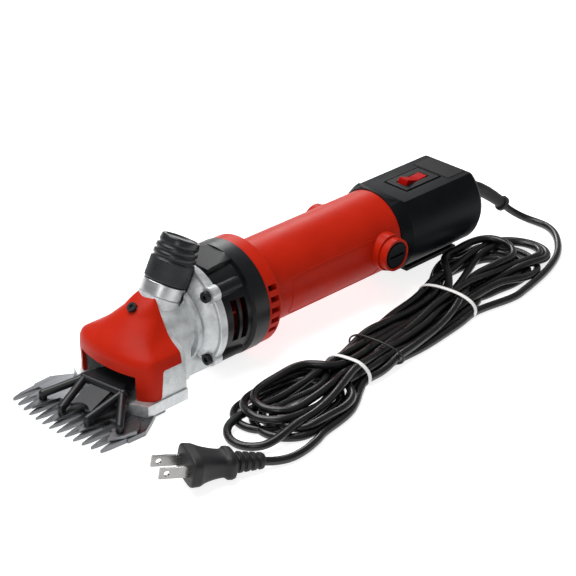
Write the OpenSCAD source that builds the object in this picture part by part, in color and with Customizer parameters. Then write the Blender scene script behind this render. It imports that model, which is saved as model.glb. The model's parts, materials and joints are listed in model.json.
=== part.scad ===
// Electric sheep shears: a 13-tooth comb and cutter head driven by a mains motor,
// with its cord folded into a hank.
//
// Frame, in millimetres: +X runs along the handle from the comb to the cord, +Y is
// across it and +Z is up. The origin is on the surface that the shears stand on,
// below the middle of the tool. The motor turns about a line parallel to X.

/* [Handle] */
// Height of the motor's axis above the surface
axis_z = 34; // [34:0.5:36]
// Outer radius of the handle
handle_r = 25.8; // [25.5:0.1:26.2]
// Wall of the moulded casings
wall = 2.3; // [2:0.1:2.5]
// Radius of the fan shroud's rim
rim_r = 33.9; // [33.5:0.1:34]

/* [Blades] */
// Number of comb teeth
comb_teeth = 13; // [13]
// Distance between comb teeth
tooth_pitch = 6.33; // [6.2:0.01:6.4]
// Thickness of the comb
comb_t = 3; // [3]
// Thickness of the cutter
cutter_t = 2.4; // [2:0.1:2.6]
// How far the fork is turned from the middle at rest
swing_rest = 8; // [0:1:9]

/* [Gears] */
// Tooth module of the gear pair
gear_module = 0.8; // [0.8]
// Teeth on the motor pinion
pinion_teeth = 9; // [9]
// Teeth on the drive gear
drive_teeth = 29; // [29]
// Throw of the crank
crank_throw = 2; // [1.5:0.1:2]

/* [Tension nut] */
// Lean of the nut's axis from upright, towards the cord
nut_lean = 29; // [28:0.5:30]
// Outer radius of the nut
nut_r = 12.9; // [12.5:0.1:13]
// Length of the nut
nut_l = 26.6; // [26:0.1:28]

/* [Cord] */
// Diameter of the cord
cord_d = 4.8; // [4.6:0.1:5]
// Height of the hank
hank_h = 18; // [14:1:18]

/* [Hidden] */
$fn = 64;

red = "#c8200f";
black = "#1c1e20";
cast = "#b9bdc0";
steel = "#8d9296";

gap = 0.05;            // running clearance, on the radius
slack = 0.2;           // clearance between parts that only lie near each other

// Stations along the handle
comb_tip_x = -164;
shroud_front_x = -59;
shroud_rear_x = -28;
cover_front_x = 90;
rear_x = 164;
head_rear_x = -78;     // where the head casting meets the gearbox casting
cover_edge_x = -94;    // rear edge of the red head cover
head_side_x = -91;     // rear of the wide part of the head

// Gears and crank
crank_z = axis_z - gear_module * (pinion_teeth + drive_teeth) / 2;
gear_front_x = -70;
gear_w = 7;
crank_pin_r = 1.5;
roller_r = 2.5;
bearing_r = 9.5;
bearing_w = 6;
bush_r = 4.5;
shaft_r = 3.5;
crank_r = 3;

// Fork
pivot_x = -100;
fork_z = 15;
table_z = 8;           // top of the casting's table, above the comb
foot_top_z = 10;
post_r = 3;

// Tension nut's axis: it meets the fork here
cup_x = -98;
cup_z = 22;
pin_r = 3;
nut_start = 42.8;      // along the axis, from the fork to the nut's lower edge

// Switch
switch_x = 127.5;
rocker_z = 53;
top_z = axis_z + 22;   // flat top of the rear cover

brush_x = 76;
boss_y = 35;

// Route of the cord from the strain relief to the hank
relief_route = [
    [159, 0, 34], [171, 0, 34.2], [178, 0, 34], [184, -1, 32.5], [190, -2, 29.5],
    [196, -3.5, 25.5], [201, -5, 21.5], [205, -6.5, 18], [209, -8, 14]
];
lead_route = [
    [209, -8, 14], [212, -10, 10.5], [216, -13, 7], [220, -18, 4], [223, -25, 2.5],
    [223, -33, 2.5], [220, -41, 2.5], [215, -48, 2.5], [208, -55, 2.5],
    [199, -62, 2.5], [188, -68, 2.5], [175, -73, 2.5], [160, -77, 2.5],
    [144, -80, 2.5], [130, -81, 2.5]
];
tail_route = [
    [-62, -109, 2.5], [-72, -113, 2.5], [-82, -115, 2.5], [-92, -115, 2.6],
    [-101, -112, 3.2], [-107, -109, 4.5]
];
// The hank's outline: [x, y, radius] of the circles that it is stretched round
hank_shape = [
    [-82, -90, 21], [-9, -77, 14], [95, -60, 20], [142, -54, 24], [168, -49, 23]
];
tie_at = [[-9, -77, 10, 14.5], [95, -60, 8, 20.5]];

plug_turn = 158;       // direction that the blades point in, about Z
plug_pitch = 10;       // how far the blades point up
plug_start = [-107, -109, 4.9];
plug_l = 44;

// ---------------------------------------------------------------- helpers

// A cylinder along X from x, on the line at height z
module rod_x(x, z, r, len) {
    translate([x, 0, z]) rotate([0, 90, 0]) cylinder(r = r, h = len);
}

// A cylinder along Y, outward on the side that side names, from distance y0 to y1
module rod_y(side, x, z, y0, y1, r) {
    translate([x, side * y0, z]) rotate([side * -90, 0, 0]) cylinder(r = r, h = y1 - y0);
}

// A ring of revolution about the motor axis: outline holds [x, radius] points
module turned(outline, z = axis_z) {
    translate([0, 0, z]) rotate([0, 90, 0]) rotate_extrude($fn = 96)
        polygon([for (p = outline) [p[1], p[0]]]);
}

// An outline in X and Z, carried the full width w across the tool
module side_cut(outline, w) {
    translate([0, w / 2, 0]) rotate([90, 0, 0]) linear_extrude(w) polygon(outline);
}

// An outline in Y and Z, carried from x0 to x1
module front_cut(outline, x0, x1) {
    translate([x0, 0, 0]) rotate([90, 0, 90]) linear_extrude(x1 - x0) polygon(outline);
}

// A box by its two corners
module block(low, high) {
    translate(low) cube(high - low);
}

// A straight round bar with ball ends between two points
module bar(p, q, r) {
    d = q - p;
    len = norm(d);
    translate(p) rotate([0, acos(d[2] / len), atan2(d[1], d[0])]) cylinder(r = r, h = len);
    for (end = [p, q]) translate(end) sphere(r = 1.03 * r);
}

// Everything drawn in the fork's own frame, turned to where it rests
module at_swing() {
    translate([pivot_x, 0, 0]) rotate([0, 0, swing_rest]) children();
}

// Everything drawn along the tension axis, with Z along it from the fork outward
module at_tension() {
    translate([cup_x, 0, cup_z]) rotate([0, nut_lean, 0]) children();
}

// Left and right copies
module both_sides() {
    for (side = [-1, 1]) scale([1, side, 1]) children();
}

// Unit vector, and the direction of a route at point i
function unit(v) = v / norm(v);
function heading(path, i) =
    unit(path[min(i + 1, len(path) - 1)] - path[max(i - 1, 0)]);

// A level vector across a heading
function across(d) = unit(cross(d, [0, 0, 1]));

// A closed tube along a path; radii holds one radius for each point
module tube(path, radii, sides) {
    count = len(path);
    rings = [
        for (i = [0 : count - 1])
            let (d = heading(path, i), a = across(d), b = cross(a, d))
                for (k = [0 : sides - 1])
                    let (t = 360 * k / sides)
                        path[i] + radii[i] * (a * cos(t) + b * sin(t))
    ];
    skin = [
        for (i = [0 : count - 2])
            for (k = [0 : sides - 1])
                let (n = (k + 1) % sides)
                    [i * sides + k, i * sides + n, (i + 1) * sides + n, (i + 1) * sides + k]
    ];
    start = [for (k = [sides - 1 : -1 : 0]) k];
    finish = [for (k = [0 : sides - 1]) (count - 1) * sides + k];
    polyhedron(points = rings, faces = concat([start], skin, [finish]), convexity = 6);
}

function same(value, path) = [for (p = path) value];

// Involute gear outline, with flanks thinned for backlash
function involute(a) = (tan(a) - a * PI / 180) * 180 / PI;
module gear_outline(teeth, backlash) {
    pitch_r = gear_module * teeth / 2;
    base_r = pitch_r * cos(20);
    root_r = pitch_r - 1.2 * gear_module;
    tip_r = pitch_r + 0.85 * gear_module;
    start_r = max(base_r, root_r + 0.01);
    half = 90 / teeth - backlash * 90 / (PI * pitch_r) + involute(20);
    steps = 4;
    radii = [for (i = [0 : steps]) start_r + (tip_r - start_r) * i / steps];
    angles = [for (r = radii) half - involute(acos(min(1, base_r / r)))];
    points = [
        for (t = [0 : teeth - 1])
            let (mid = 360 * t / teeth)
                each concat(
                    [root_r * [cos(mid - angles[0]), sin(mid - angles[0])]],
                    [for (i = [0 : steps])
                        radii[i] * [cos(mid - angles[i]), sin(mid - angles[i])]],
                    [for (i = [steps : -1 : 0])
                        radii[i] * [cos(mid + angles[i]), sin(mid + angles[i])]],
                    [root_r * [cos(mid + angles[0]), sin(mid + angles[0])]]
                )
    ];
    polygon(points);
}

// A shielded ball bearing about X
module bearing(x, z, r, bore, w) {
    turned([
        [x, bore], [x, bore + 1.6], [x + 0.5, bore + 1.9], [x + 0.5, r - 1.7],
        [x, r - 1.4], [x, r], [x + w, r], [x + w, r - 1.4], [x + w - 0.5, r - 1.7],
        [x + w - 0.5, bore + 1.9], [x + w, bore + 1.6], [x + w, bore]
    ], z);
}

// A socket-head screw along Z: head up, shank down from z = 0
module socket_screw(head_r, head_h, shank_r, shank_l) {
    difference() {
        cylinder(r = head_r, h = head_h);
        translate([0, 0, head_h * 0.4]) cylinder(r = head_r * 0.5, h = head_h, $fn = 6);
    }
    translate([0, 0, -shank_l]) cylinder(r = shank_r, h = shank_l + 0.1);
}

// ---------------------------------------------------------------- head

cover_screw_at = [-101.4, 0, 51.9];
nose_depth = 12;       // how far the rounded front runs back to the straight sides

// Sections of the head, from its foot up to its crown: [height, half-width, front x]
head_rows = [
    [3, 31.5, -123.9], [24, 31.5, -124.5], [30, 31.2, -124.5], [33.5, 30.2, -123.4],
    [36, 26.5, -121.5], [38, 22.6, -119.3], [41.3, 18.8, -115.1], [44.6, 16, -110.8],
    [48, 13.4, -106.2], [51.6, 11, -101.8], [54.4, 9, -97.6], [57, 6.6, -91.6]
];
head_turns = [90 : -15 : -90];
head_points = 15;

function head_section(row, inset) =
    let (
        w = row[1] - inset,
        x = min(row[2] + inset, head_side_x - 0.5),
        z = row[0] - (row[0] > 30 ? inset * 0.7 : 0),
        depth = min(nose_depth, (head_side_x - x) * 0.86)
    )
    concat(
        [[head_side_x, w, z]],
        [for (t = head_turns) [x + depth * (1 - cos(t)), w * sin(t), z]],
        [[head_side_x, -w, z]]
    );

module head_mass(inset) {
    n = head_points;
    last = len(head_rows) - 1;
    polyhedron(
        points = [for (row = head_rows) each head_section(row, inset)],
        faces = concat(
            [[for (k = [0 : n - 1]) k]],
            [for (i = [0 : last - 1], k = [0 : n - 1])
                let (m = (k + 1) % n, a = i * n + k, b = i * n + m)
                    each [[a, a + n, b + n], [a, b + n, b]]],
            [[for (k = [n - 1 : -1 : 0]) last * n + k]]
        ),
        convexity = 4
    );
}

// Where the red cover lies: two legs, two wings and the crown
module cover_zone() {
    side_cut([
        [-130, 10], [-110, 10], [-109, 11], [-107.5, 26], [-106.5, 27], [cover_edge_x, 27],
        [cover_edge_x, 36], [head_side_x, 56], [head_side_x, 70], [-130, 70]
    ], 80);
}

// Everything of the cover's zone but what lies inside the shell
module cover_space() difference() {
    intersection() {
        cover_zone();
        block([-130, -40, 5], [head_side_x, 40, 70]);
    }
    head_mass(2.2);
    at_tension() translate([0, 0, 10]) cylinder(r = 12.7, h = 60);
}

module head_screw_places() {
    for (side = [-1, 1]) translate([0, side * 13, 40]) children();
}

module comb_screw_places() {
    for (side = [-1, 1]) translate([-112, side * 18, 0]) children();
}

module fork_chamber() {
    block([-130, -22, table_z], [-95, 22, 25]);
    block([-120, -13, table_z], [-95, 13, 37]);
    block([-96, -15, table_z], [head_rear_x + 1, 15, 29]);
}

module head_casting() color(cast) difference() {
    union() {
        head_mass(0);
        // table that the comb is screwed to
        translate([0, 0, comb_t]) linear_extrude(7 - slack) polygon([
            [-125, -22.6], [-120, -32.4], [head_side_x, -32.5], [head_side_x, 32.5],
            [-120, 32.4], [-125, 22.6]
        ]);
        // neck towards the gearbox
        front_cut(concat(
            [[-19, 5], [19, 5], [21, 12]],
            [for (t = [0 : 12 : 180]) [21 * cos(t), 33 + 20 * sin(t)]],
            [[-21, 12]]
        ), cover_edge_x, head_rear_x);
        at_tension() translate([0, 0, 14]) cylinder(r = 12.6, h = 20.6);
    }
    cover_space();
    fork_chamber();
    at_tension() translate([0, 0, 2]) cylinder(r = 4, h = 30);
    at_tension() translate([0, 0, 20]) cylinder(r = 8, h = 30);
    at_tension() translate([0, 0, 34.65]) cylinder(r = nut_r + 0.3, h = 40);
    comb_screw_places() cylinder(r = 2.5 + gap, h = table_z + 3);
    head_screw_places() rod_x(-92, 0, 1.8, 20);
    head_screw_places() rod_x(-94, 0, 3.2, 10);
    translate(cover_screw_at) rotate([0, -38, 0]) translate([0, 0, -12]) cylinder(r = 1.5, h = 20);
    translate([pivot_x, 0, comb_t - 1]) cylinder(r = post_r, h = table_z);
}

module head_screws() color(steel) head_screw_places()
    translate([-86, 0, 0]) rotate([0, -90, 0]) socket_screw(3, 3, 1.75, 12);

module head_cover() color(red) difference() {
    intersection() {
        head_mass(0);
        cover_zone();
    }
    head_mass(2);
    at_tension() translate([0, 0, 10]) cylinder(r = nut_r + 0.3, h = 60);
    // mouth between the legs
    block([-130, -23, 0], [-100, 23, 25]);
    side_cut([[-130, 0], [-104, 0], [-104, 10], [-130, 10]], 90);
    translate(cover_screw_at) rotate([0, -38, 0]) {
        translate([0, 0, -6]) cylinder(r = 1.8, h = 12);
        translate([0, 0, 0.2]) cylinder(r = 3.2, h = 6);
    }
}

module cover_screw() color(black)
    translate(cover_screw_at) rotate([0, -38, 0]) translate([0, 0, 0.3])
        socket_screw(2.9, 1.6, 1.45, 9);

module fulcrum_post() color(steel) translate([pivot_x, 0, 0]) {
    translate([0, 0, comb_t + 0.1]) cylinder(r = post_r, h = fork_z - 1.2 - comb_t);
    translate([0, 0, table_z]) cylinder(r = 4.5, h = 1.5);
}

// ---------------------------------------------------------------- tension nut

module tension_barrel() color(cast) at_tension() difference() {
    union() {
        translate([0, 0, 20]) cylinder(r = 8 - gap, h = 37);
        translate([0, 0, 34.7]) cylinder(r = 12.5, h = 7.7);
    }
    translate([0, 0, 15]) cylinder(r = pin_r + gap, h = 50);
}

module tension_nut() color(black) at_tension() translate([0, 0, nut_start]) difference() {
    rotate_extrude($fn = 96) polygon([
        [0, 0], [nut_r - 0.6, 0], [nut_r, 0.6], [nut_r, 13], [nut_r - 0.9, 14],
        [nut_r - 0.1, 15.2], [nut_r - 0.1, 16.6], [nut_r - 0.9, 17.8],
        [nut_r - 0.2, 19], [nut_r - 0.2, 20.4], [nut_r - 0.9, 21.6],
        [nut_r - 0.3, 22.8], [nut_r - 0.3, 24.2], [nut_r - 2, nut_l - 0.6],
        [nut_r - 3, nut_l], [0, nut_l]
    ]);
    translate([0, 0, -1]) cylinder(r = 8 + gap, h = 24);
}

module tension_pin() color(steel) at_tension() {
    translate([0, 0, -1.2]) sphere(r = pin_r);
    translate([0, 0, -1.2]) cylinder(r = pin_r, h = nut_start + 22);
    translate([0, 0, nut_start + 19.5]) cylinder(r = 6, h = 2.4);
}

// ---------------------------------------------------------------- blades and fork

function tip_x(y) = comb_tip_x + 4.7 * pow(y / 38, 2);

// One side of a comb tooth, from its root to its tip, for the tooth at y
function tooth_side(y, side) = [
    [-142, y + side * 2], [tip_x(y) + 13, y + side * 1.6],
    [tip_x(y) + 6, y + side * 1.1], [tip_x(y) + 1, y + side * 0.45]
];
function tooth(y) = concat(
    tooth_side(y, 1), [[tip_x(y), y]],
    [for (i = [3 : -1 : 0]) tooth_side(y, -1)[i]]
);

module comb() color(steel) difference() {
    intersection() {
        linear_extrude(comb_t) polygon(concat(
            [
                [-142, -41], [-130, -41.5], [-121, -36], [-113, -30.5], [-106, -30.5],
                [-106, 30.5], [-113, 30.5], [-121, 36], [-130, 41.5], [-142, 41]
            ],
            [for (i = [comb_teeth - 1 : -1 : 0])
                each tooth((i - (comb_teeth - 1) / 2) * tooth_pitch)]
        ));
        side_cut([
            [-165, 0.6], [-156, 0], [-100, 0], [-100, comb_t], [-152, comb_t], [-165, 1.5]
        ], 100);
    }
    comb_screw_places() {
        translate([0, 0, -1]) cylinder(r = 2.6, h = 8);
        translate([0, 0, -1]) cylinder(r = 4.9, h = 2.9);
        block([0, -2.6, -1], [10, 2.6, 6]);
        block([0, -4.9, -1], [10, 4.9, 1.9]);
    }
    for (side = [-1, 1]) translate([-128, side * 27, -1]) cylinder(r = 1.5, h = 6);
}

module comb_screws() color(black) comb_screw_places()
    translate([0, 0, 1.85]) mirror([0, 0, 1]) socket_screw(4.6, 1.7, 2.5, 8);

// Places of the cutter's points, across the fork's own frame
point_y = [-28.5, -9.5, 9.5, 28.5];
function point_x(y) = tip_x(y) + 5 - pivot_x;
function foot_x(y) = abs(y) > 20 ? -47 : -52;

function cutter_point(y) = [
    [-41, y - 7], [-47, y - 5], [point_x(y), y - 0.7],
    [point_x(y), y + 0.7], [-47, y + 5], [-41, y + 7]
];

module cutter() color(steel) at_swing() translate([0, 0, comb_t + 0.03]) difference() {
    intersection() {
        linear_extrude(cutter_t) polygon(concat(
            [[-37, 34], [-31, 29], [-31, -29], [-37, -34]],
            [for (y = point_y) each cutter_point(y)]
        ));
        side_cut([[-62, 0], [-30, 0], [-30, cutter_t], [-46, cutter_t], [-62, 1]], 90);
    }
    for (y = point_y) translate([foot_x(y), y, 0.8]) cylinder(r = 1.5, h = 4);
}

module fork_feet() color(steel) at_swing()
    for (y = point_y) translate([foot_x(y), y, comb_t + 0.85]) {
        cylinder(r = 1.45, h = 4);
    }

module fork() color(black) at_swing() difference() {
    union() {
        // cross bar and tines
        bar([-28, -14.5, fork_z], [-28, 14.5, fork_z], 2.8);
        for (y = point_y) {
            root = [-28, (y > 0 ? 1 : -1) * 14, fork_z];
            knee = [foot_x(y), y, foot_top_z - 1.6];
            bar(root, knee, 2.4);
            translate([foot_x(y), y, comb_t + cutter_t + 0.1])
                cylinder(r = 2.3, h = foot_top_z - comb_t - cutter_t - 1);
        }
        // web between the inner tines
        side_cut([[-47, 8.6], [-28, 13.4], [-28, 15.6], [-47, 10.2]], 15);
        // beam back to the crank
        translate([0, 0, fork_z - 2.5]) linear_extrude(5.5) polygon([
            [-29, -15], [-10, -8], [8, -8], [8, 8], [-10, 8], [-29, 15]
        ]);
        translate([0, 0, fork_z - 4]) cylinder(r = 8, h = 9);
        for (side = [-1, 1])
            block([5, side * 9 - 1.5, fork_z - 2.5], [15.5, side * 9 + 1.5, fork_z + 9]);
        block([3, -10.5, fork_z - 2.5], [7.5, 10.5, fork_z + 3]);
    }
    translate([0, 0, fork_z - 6]) cylinder(r = post_r + gap, h = 5);
    // cup for the tension pin
    translate([1.4, 0, 21.2]) sphere(r = 3.6);
    for (y = point_y) translate([foot_x(y), y, comb_t]) cylinder(r = 1.5, h = 4.9);
    // the mouth of the web, an arch between the inner feet
    translate([-52, 0, 0]) cylinder(r = 8, h = 30);
}

// ---------------------------------------------------------------- gearbox

crank_phase = 40;      // crank pin's place at rest, from +Y towards +Z
crank_pin_y = crank_throw * cos(crank_phase);
crank_pin_z = crank_z + crank_throw * sin(crank_phase);
screw_y = 21.5;
screw_z = 20;

module flange_corners() {
    for (y = [-1, 1], z = [-1, 1]) translate([0, y * screw_y, axis_z + z * screw_z]) children();
}

module gearbox_casting() color(cast) difference() {
    union() {
        turned([
            [shroud_front_x, 0], [shroud_front_x, 31.5], [-63.5, 31.5], [-64, 31],
            [-64, 29], [-68, 26], [-70.5, 22], [-72, 22], [-72, 24.5], [-75, 24.5],
            [-75, 21], [head_rear_x, 20.5], [head_rear_x, 0]
        ]);
        flange_corners() rod_x(-65, 0, 5, 6);
        // lower block, round the drive gear
        front_cut([[-17, 5], [17, 5], [17, 34], [-17, 34]], head_rear_x, -60);
    }
    rod_x(gear_front_x - 0.8, crank_z, 12.8, 12);
    rod_x(gear_front_x - 0.8, axis_z, 8, 12);
    block([gear_front_x - 0.8, -8, crank_z], [shroud_front_x + 1, 8, axis_z]);
    rod_x(head_rear_x + 1, crank_z, bearing_r, 8);
    rod_x(head_rear_x - 1, crank_z, 5, 3);
    flange_corners() rod_x(-66, 0, 2.1, 8);
    flange_corners() rod_x(-70, 0, 3.6, 4.95);
    // room for the collar and the tension nut
    at_tension() translate([0, 0, 10]) cylinder(r = nut_r + 0.5, h = 60);
    head_screw_places() rod_x(head_rear_x - 1, 0, 1.8, 6);
}

module gearbox_screws() color(black) flange_corners()
    translate([-65.05, 0, 0]) rotate([0, -90, 0]) socket_screw(3.4, 2.6, 2.05, 10);

module crank_bearing() color(steel)
    bearing(head_rear_x + 1.05, crank_z, bearing_r - 0.02, crank_r + gap, bearing_w);

module crank_bush() color("#b08d57") turned([
    [shroud_front_x + 0.05, crank_r + gap], [shroud_front_x + 0.05, bush_r],
    [shroud_front_x + 4.9, bush_r], [shroud_front_x + 4.9, crank_r + gap]
], crank_z);

module crank_shaft() color(steel) {
    rod_x(-81, crank_z, crank_r, shroud_front_x + 4.5 + 81);
    rod_x(-81.5, crank_z, 4.6, 2.5);
    translate([0, crank_pin_y, 0]) rod_x(-91, crank_pin_z, crank_pin_r, 10);
}

module crank_roller() color("#b08d57") translate([0, crank_pin_y, 0]) difference() {
    rod_x(-90.5, crank_pin_z, roller_r, 6);
    rod_x(-91, crank_pin_z, crank_pin_r + gap, 8);
}

module drive_gear() color(steel) difference() {
    translate([gear_front_x, 0, crank_z]) rotate([90, 0, 90])
        linear_extrude(gear_w) rotate(90) gear_outline(drive_teeth, 0.12);
    rod_x(gear_front_x - 1, crank_z, crank_r, gear_w + 2);
    for (t = [0 : 60 : 300])
        translate([gear_front_x - 1, 7 * cos(t), crank_z + 7 * sin(t)])
            rotate([0, 90, 0]) cylinder(r = 1.9, h = gear_w + 2);
}

module pinion() color(steel) difference() {
    translate([gear_front_x - 0.4, 0, axis_z]) rotate([90, 0, 90])
        linear_extrude(gear_w + 0.8) rotate(90) gear_outline(pinion_teeth, 0.12);
    rod_x(gear_front_x - 2, axis_z, 2, gear_w + 4);
}

// ---------------------------------------------------------------- motor

module fan_shroud() color(black) difference() {
    union() {
        turned([
            [shroud_front_x, 0], [shroud_front_x, 28.6], [-58, 29.6], [-40, 31.4],
            [-39, rim_r], [-28.6, rim_r], [shroud_rear_x, 33.3], [shroud_rear_x, 31],
            [-38, 30.5], [-44, 29], [-54, 27], [-55, 0]
        ]);
        rod_x(-56, axis_z, 12, 4.5);
        flange_corners() rod_x(shroud_front_x, 0, 4.6, 16);
        // flat roof over the fan
        intersection() {
            side_cut([[-58.5, 62], [-57, 64.5], [-40, 67], [-39, 67], [-39, 62]], 26);
            rod_x(-60, axis_z, rim_r - 0.1, 22);
        }
    }
    rod_x(-60, axis_z, 4.5, 12);
    rod_x(-58, axis_z, bearing_r, 8);
    rod_x(-60, crank_z, bush_r + 0.02, 9);
    // the lugs for the gearbox screws stay outside the fan's space
    intersection() {
        flange_corners() rod_x(-60, 0, 2.1, 12);
        block([-60, -40, 0], [-45, 40, 80]);
    }
    for (side = [-1, 1], x = [-51, -45])
        block([x - 2, side * 30 - 10, axis_z - 11], [x + 2, side * 30 + 10, axis_z + 14]);
    rod_x(-51.4, axis_z, 26.6, 10.5);
    rod_x(-41, axis_z, 29, 3);
}

module slots(side) {
    for (k = [-2 : 2])
        translate([0, 0, axis_z]) rotate([k * 11.8, 0, 0])
            block([-26.6, side < 0 ? -40 : 22, -1.7], [-20.4, side < 0 ? -22 : 40, 1.7]);
}

module motor_housing() color(red) difference() {
    union() {
        turned([
            [shroud_rear_x, 30], [shroud_rear_x, 33.4], [-19.5, 33.4], [-19, 32.8],
            [-19, 30], [-17, 27.8], [-14, 26.3], [-10, handle_r],
            [cover_front_x, handle_r], [cover_front_x, handle_r - wall],
            [-14, handle_r - wall], [-20, 28]
        ]);
        // bearing bridge behind the commutator
        turned([[87, 0], [87, 24.5], [90, 24.5], [90, 12.2], [99, 12.2], [99, 0]]);
        rear_screw_places() rod_x(80, 0, 3.8, 9);
        both_sides() rod_y(1, brush_x, axis_z, 22, boss_y, 10.2);
        both_sides() rod_y(1, brush_x, axis_z, 22, 30, 11.4);
    }
    rod_x(92, axis_z, bearing_r, 8);
    rod_x(87, axis_z, 5, 8);
    both_sides() rod_y(1, brush_x, axis_z, 15, 29, 5.6);
    both_sides() rod_y(1, brush_x, axis_z, 28, 40, 8.7);
    rear_screw_places() rod_x(81, 0, 1.8, 12);
    for (side = [-1, 1]) slots(side);
}

module cooling_fan() color(red) {
    difference() {
        turned([[-50, 0], [-50, 7], [-43, 7], [-43, 25], [-41.8, 25], [-41.5, 0]]);
        rod_x(-52, axis_z, shaft_r, 12);
    }
    for (t = [0 : 40 : 320])
        translate([0, 0, axis_z]) rotate([t, 0, 0]) block([-50, -0.7, 6.5], [-42.5, 0.7, 25]);
}

module front_bearing() color(steel)
    bearing(-57.95, axis_z, bearing_r - 0.02, shaft_r + gap, bearing_w);

module rear_bearing() color(steel)
    bearing(92.05, axis_z, bearing_r - 0.02, shaft_r + gap, bearing_w);

module armature_shaft() color(steel) {
    rod_x(gear_front_x - 0.6, axis_z, 2, 12);
    rod_x(-60, axis_z, shaft_r, 159);
}

module rotor_core() color("#6f7478") difference() {
    rod_x(1, axis_z, 15.4, 43);
    rod_x(0, axis_z, shaft_r, 45);
    for (t = [0 : 30 : 330])
        translate([0, 0, axis_z]) rotate([t, 0, 0]) {
            block([0, -0.9, 13], [45, 0.9, 16]);
            translate([0, 0, 11.5]) rotate([0, 90, 0]) cylinder(r = 2.2, h = 46);
        }
}

module rotor_windings() color("#a5562b") difference() {
    union() {
        turned([[-9, 0], [-9, 9], [-6, 13], [0, 14], [0.9, 14], [0.9, 0]]);
        turned([[44.1, 0], [44.1, 14], [45, 14], [51, 13], [54, 9], [54, 0]]);
    }
    rod_x(-10, axis_z, shaft_r, 70);
}

module commutator() color("#b8733f") difference() {
    turned([[64, 0], [64, 11.5], [66, 11.5], [66, 9.8], [86, 9.8], [86, 0]]);
    rod_x(60, axis_z, shaft_r, 30);
    for (t = [0 : 15 : 345])
        translate([0, 0, axis_z]) rotate([t, 0, 0]) block([63, -0.25, 9], [87, 0.25, 12]);
}

module stator_core() color("#6f7478") difference() {
    rod_x(0, axis_z, handle_r - wall - 0.02, 45);
    rod_x(-1, axis_z, 16, 47);
    for (side = [-1, 1])
        block([-1, side * 17.4 - 3.4, axis_z - 8], [46, side * 17.4 + 3.4, axis_z + 8]);
}

module stator_coils() color("#a5562b")
    for (x = [-8, 45.1], start = [35, 215])
        translate([x, 0, axis_z]) rotate([start, 0, 0]) rotate([90, 0, 90])
            rotate_extrude(angle = 110) translate([16.4, 0]) square([5.4, 7.8]);

module brush_holders() color("#c9a14a") both_sides() difference() {
    rod_y(1, brush_x, axis_z, 11, 28, 5.5);
    translate([brush_x, 0, axis_z]) block([-3.2, 10, -3.2], [3.2, 29, 3.2]);
}

module carbon_brushes() color("#2b2b2d") both_sides()
    translate([brush_x, 0, axis_z]) block([-3.15, 9.9, -3.15], [3.15, 20, 3.15]);

function spring_path(side) = [
    for (t = [0 : 30 : 1800])
        [brush_x + 2.1 * cos(t), side * (20.6 + 8.5 * t / 1800), axis_z + 2.1 * sin(t)]
];
module brush_springs() color(steel) for (side = [-1, 1])
    tube(spring_path(side), same(0.35, spring_path(side)), 6);

module brush_caps() color(black) both_sides() difference() {
    union() {
        rod_y(1, brush_x, axis_z, 29.6, boss_y - 0.6, 8.6);
        rod_y(1, brush_x, axis_z, boss_y - 1, boss_y + 0.4, 7.7);
    }
    translate([brush_x, 0, axis_z]) block([-6, boss_y - 0.8, -0.8], [6, boss_y + 2, 0.8]);
}

// ---------------------------------------------------------------- rear cover

function cover_outline(inset) = [
    [cover_front_x, 0], [cover_front_x, 26 - inset], [91, 26.4 - inset],
    [98, 29 - inset], [rear_x - 4 - inset, 29 - inset], [rear_x - 1.4 - inset, 27.6 - inset],
    [rear_x - inset, 25 - inset], [rear_x - inset, 0]
];

module cover_mass(inset) intersection() {
    turned(cover_outline(inset));
    side_cut([
        [80, 0], [80, 70], [89, axis_z + 26.5 - inset], [100, top_z - inset],
        [rear_x - 3 - inset, top_z - inset], [rear_x - inset, top_z - 3 - inset],
        [rear_x + 2, 0]
    ], 80);
}

module rear_screw_places() {
    for (y = [-1, 1], z = [-1, 1]) translate([0, y * 17.5, axis_z + z * 13]) children();
}

module clamp_places() {
    for (y = [-6.5, 6.5]) translate([149, y, 0]) children();
}

module rear_cover() color(black) difference() {
    union() {
        difference() {
            cover_mass(0);
            intersection() {
                cover_mass(2.4);
                block([cover_front_x - 1, -40, 0], [rear_x, 40, 80]);
            }
        }
        intersection() {
            cover_mass(1);
            union() {
                rear_screw_places() rod_x(150, 0, 4.2, 14);
                clamp_places() translate([0, 0, 4]) cylinder(r = 3, h = 23);
            }
        }
    }
    block([switch_x - 12.6, -7.6, 50], [switch_x + 12.6, 7.6, 60]);
    block([switch_x - 16, -10, top_z - 1.3], [switch_x + 16, 10, 60]);
    block([144.3, -14.7, top_z - 0.3], [160.2, 14.7, 60]);
    rod_x(160, axis_z, 5.3, 6);
    rear_screw_places() rod_x(149, 0, 1.8, 20);
    clamp_places() translate([0, 0, 15]) cylinder(r = 1.3, h = 20);
    rear_screw_places() rod_x(160.5, 0, 3.2, 10);
    // air slots above the filter
    for (k = [-3 : 3]) block([136.5 + k * 5 - 1.2, -6, 3], [136.5 + k * 5 + 1.2, 6, 12]);
}

module rear_cover_screws() color(steel) rear_screw_places()
    translate([160.6, 0, 0]) rotate([0, 90, 0]) socket_screw(3, 2.4, 1.75, 78);

module switch_frame() color(black) difference() {
    union() {
        block([switch_x - 15, -9, top_z - 1.25], [switch_x + 15, 9, top_z + 0.4]);
        block([switch_x - 12.4, -7.4, 50], [switch_x + 12.4, 7.4, top_z]);
    }
    block([switch_x - 10.7, -4, 44], [switch_x + 10.7, 4, 62]);
}

module switch_body() color("#303236") difference() {
    block([switch_x - 12, -7, 36], [switch_x + 12, 7, 49.9]);
    block([switch_x - 10.7, -4, 42], [switch_x + 10.7, 4, 52]);
    for (x = [-8, 0, 8]) block([switch_x + x - 2.6, -0.5, 35], [switch_x + x + 2.6, 0.5, 38]);
}

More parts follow.
